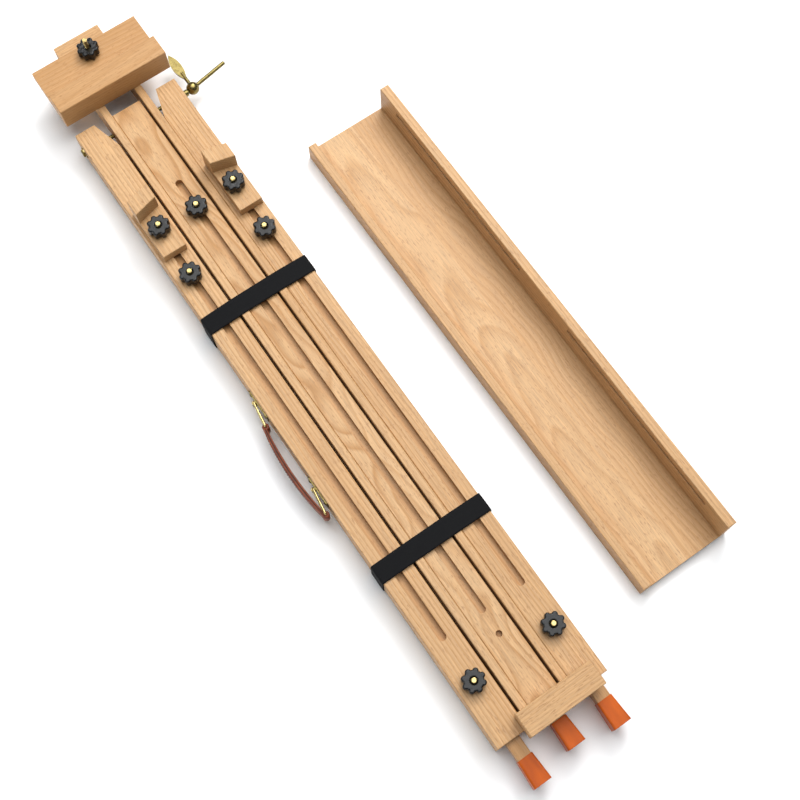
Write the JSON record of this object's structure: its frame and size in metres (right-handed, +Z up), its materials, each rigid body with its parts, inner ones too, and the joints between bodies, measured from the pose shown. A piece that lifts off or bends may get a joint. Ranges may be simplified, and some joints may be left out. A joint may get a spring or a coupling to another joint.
{
  "type": "folded tripod field easel",
  "caption": "Folded wooden tripod field easel with sliding mast, telescoping legs, clamp knobs, webbing straps, carrying handle and a separate slotted tray.",
  "frame": {"origin": "middle of the underside of the upper strap, on the floor the folded easel lies on", "axes": "+X across the bundle towards the tray, +Y along the bundle from the feet to the head clamp, +Z up from the floor"},
  "size_m": [0.3809, 1.091, 0.088],
  "materials": {
    "beech_leg": "oiled",
    "beech_leg_back": "oiled",
    "beech_bar": "oiled",
    "beech_mast": "oiled",
    "beech_head": "oiled",
    "beech_rest": "oiled",
    "beech_tray": "oiled",
    "brass": "polished",
    "knob_black": "satin",
    "foot_orange": "satin",
    "leather_brown": "waxed",
    "webbing_black": "woven"
  },
  "bodies": {
    "pivot": {"clamp_bolt": "brass", "cap_nut": "brass", "boss": "brass", "left_washer": "brass", "right_washer": "brass", "strap_upper": "webbing_black", "strap_lower": "webbing_black"},
    "lever": {"lever": "brass"},
    "mast": {"left_rail": "beech_mast", "right_rail": "beech_mast", "tie_block": "beech_mast", "crossbar": "beech_mast"},
    "head_clamp": {"head_plate": "beech_head", "head_lip": "beech_head", "head_shoe": "beech_head", "head_stud": "brass"},
    "head_knob": {"head_knob": "knob_black"},
    "left_leg": {"left_leg_channel": "beech_leg", "left_leg_back": "beech_leg_back", "left_lower_stud": "brass", "handle_plate_a": "brass", "handle_plate_b": "brass"},
    "right_leg": {"right_leg_channel": "beech_leg", "right_leg_back": "beech_leg_back", "right_lower_stud": "brass"},
    "rear_leg": {"rear_leg_channel": "beech_leg", "rear_leg_back": "beech_leg_back"},
    "left_extension": {"left_bar": "beech_bar", "left_foot": "foot_orange", "left_upper_stud": "brass"},
    "right_extension": {"right_bar": "beech_bar", "right_foot": "foot_orange", "right_upper_stud": "brass"},
    "rear_extension": {"rear_bar": "beech_bar", "rear_foot": "foot_orange", "rear_stud": "brass"},
    "left_rest": {"left_rest_block": "beech_rest", "left_rest_lip": "beech_rest", "left_rest_stud": "brass"},
    "right_rest": {"right_rest_block": "beech_rest", "right_rest_lip": "beech_rest", "right_rest_stud": "brass"},
    "left_lower_knob": {"left_lower_knob": "knob_black"},
    "right_lower_knob": {"right_lower_knob": "knob_black"},
    "left_upper_knob": {"left_upper_knob": "knob_black"},
    "right_upper_knob": {"right_upper_knob": "knob_black"},
    "left_rest_knob": {"left_rest_knob": "knob_black"},
    "right_rest_knob": {"right_rest_knob": "knob_black"},
    "rear_knob": {"rear_knob": "knob_black"},
    "ring_a": {"handle_ring_a": "brass"},
    "ring_b": {"handle_ring_b": "brass"},
    "grip": {"handle_grip": "leather_brown"},
    "tray": {"tray_floor": "beech_tray", "tray_front": "beech_tray", "tray_back": "beech_tray"}
  },
  "joints": [
    {"name": "left_leg_splay", "type": "hinge", "parent": "pivot", "child": "left_leg", "pos_m": [-0.0385, 0.27429, 0.0225], "axis": [0, 0, -1], "range_deg": [0, 15], "deforming": ["strap_upper", "strap_lower"]},
    {"name": "right_leg_splay", "type": "hinge", "parent": "pivot", "child": "right_leg", "pos_m": [0.0385, 0.27429, 0.0225], "axis": [0, 0, 1], "range_deg": [0, 5.7], "deforming": ["strap_upper", "strap_lower"]},
    {"name": "rear_leg_swing", "type": "hinge", "parent": "pivot", "child": "rear_leg", "pos_m": [0, 0.302, 0.024], "axis": [1, 0, 0], "range_deg": [0, 28], "deforming": ["strap_upper", "strap_lower"]},
    {"name": "mast_slide", "type": "slide", "parent": "pivot", "child": "mast", "axis": [0, 1, 0], "range_m": [0, 0.036]},
    {"name": "lever_turn", "type": "hinge", "parent": "pivot", "child": "lever", "pos_m": [0.09, 0.302, 0.024], "axis": [1, 0, 0], "continuous": true},
    {"name": "head_clamp_slide", "type": "slide", "parent": "mast", "child": "head_clamp", "axis": [0, 1, 0], "range_m": [-0.064, 0.02]},
    {"name": "head_knob_turn", "type": "hinge", "parent": "head_clamp", "child": "head_knob", "pos_m": [0.0013, 0.4012, 0.0669], "axis": [0, 0, 1], "continuous": true},
    {"name": "left_extension_slide", "type": "slide", "parent": "left_leg", "child": "left_extension", "axis": [0, -1, 0], "range_m": [0, 0.5], "deforming": ["strap_upper", "strap_lower"]},
    {"name": "left_rest_slide", "type": "slide", "parent": "left_leg", "child": "left_rest", "axis": [0, 1, 0], "range_m": [-0.018, 0.034]},
    {"name": "left_lower_knob_turn", "type": "hinge", "parent": "left_leg", "child": "left_lower_knob", "pos_m": [-0.0535, -0.519, 0.0499], "axis": [0, 0, 1], "continuous": true},
    {"name": "left_upper_knob_turn", "type": "hinge", "parent": "left_extension", "child": "left_upper_knob", "pos_m": [-0.0535, 0.0675, 0.0499], "axis": [0, 0, 1], "continuous": true},
    {"name": "left_rest_knob_turn", "type": "hinge", "parent": "left_rest", "child": "left_rest_knob", "pos_m": [-0.0535, 0.136, 0.0629], "axis": [0, 0, 1], "continuous": true},
    {"name": "right_extension_slide", "type": "slide", "parent": "right_leg", "child": "right_extension", "axis": [0, -1, 0], "range_m": [0, 0.5], "deforming": ["strap_upper", "strap_lower"]},
    {"name": "right_rest_slide", "type": "slide", "parent": "right_leg", "child": "right_rest", "axis": [0, 1, 0], "range_m": [-0.018, 0.034]},
    {"name": "right_lower_knob_turn", "type": "hinge", "parent": "right_leg", "child": "right_lower_knob", "pos_m": [0.0535, -0.519, 0.0499], "axis": [0, 0, 1], "continuous": true},
    {"name": "right_upper_knob_turn", "type": "hinge", "parent": "right_extension", "child": "right_upper_knob", "pos_m": [0.0535, 0.0675, 0.0499], "axis": [0, 0, 1], "continuous": true},
    {"name": "right_rest_knob_turn", "type": "hinge", "parent": "right_rest", "child": "right_rest_knob", "pos_m": [0.0535, 0.136, 0.0629], "axis": [0, 0, 1], "continuous": true},
    {"name": "rear_extension_slide", "type": "slide", "parent": "rear_leg", "child": "rear_extension", "axis": [0, -1, 0], "range_m": [0, 0.465], "deforming": ["strap_upper", "strap_lower"]},
    {"name": "rear_knob_turn", "type": "hinge", "parent": "rear_extension", "child": "rear_knob", "pos_m": [0, 0.14, 0.0499], "axis": [0, 0, 1], "continuous": true},
    {"name": "ring_a_turn", "type": "hinge", "parent": "left_leg", "child": "ring_a", "pos_m": [-0.0772, -0.108, 0.024], "axis": [0, 0, -1], "range_deg": [0, 80]},
    {"name": "ring_b_turn", "type": "hinge", "parent": "left_leg", "child": "ring_b", "pos_m": [-0.0772, -0.236, 0.024], "axis": [0, 0, -1], "range_deg": [0, 80]},
    {"name": "grip_turn", "type": "hinge", "parent": "ring_a", "child": "grip", "pos_m": [-0.082, -0.142, 0.024], "axis": [0, 0, -1], "range_deg": [-80, 0]},
    {"name": "tray_lift", "type": "slide", "parent": "pivot", "child": "tray", "axis": [0, 0, 1], "range_m": [0, 0.15]}
  ],
  "couplings": [
    {"joint": "ring_b_turn", "follows": "ring_a_turn", "ratio": 1},
    {"joint": "grip_turn", "follows": "ring_a_turn", "ratio": -1}
  ]
}
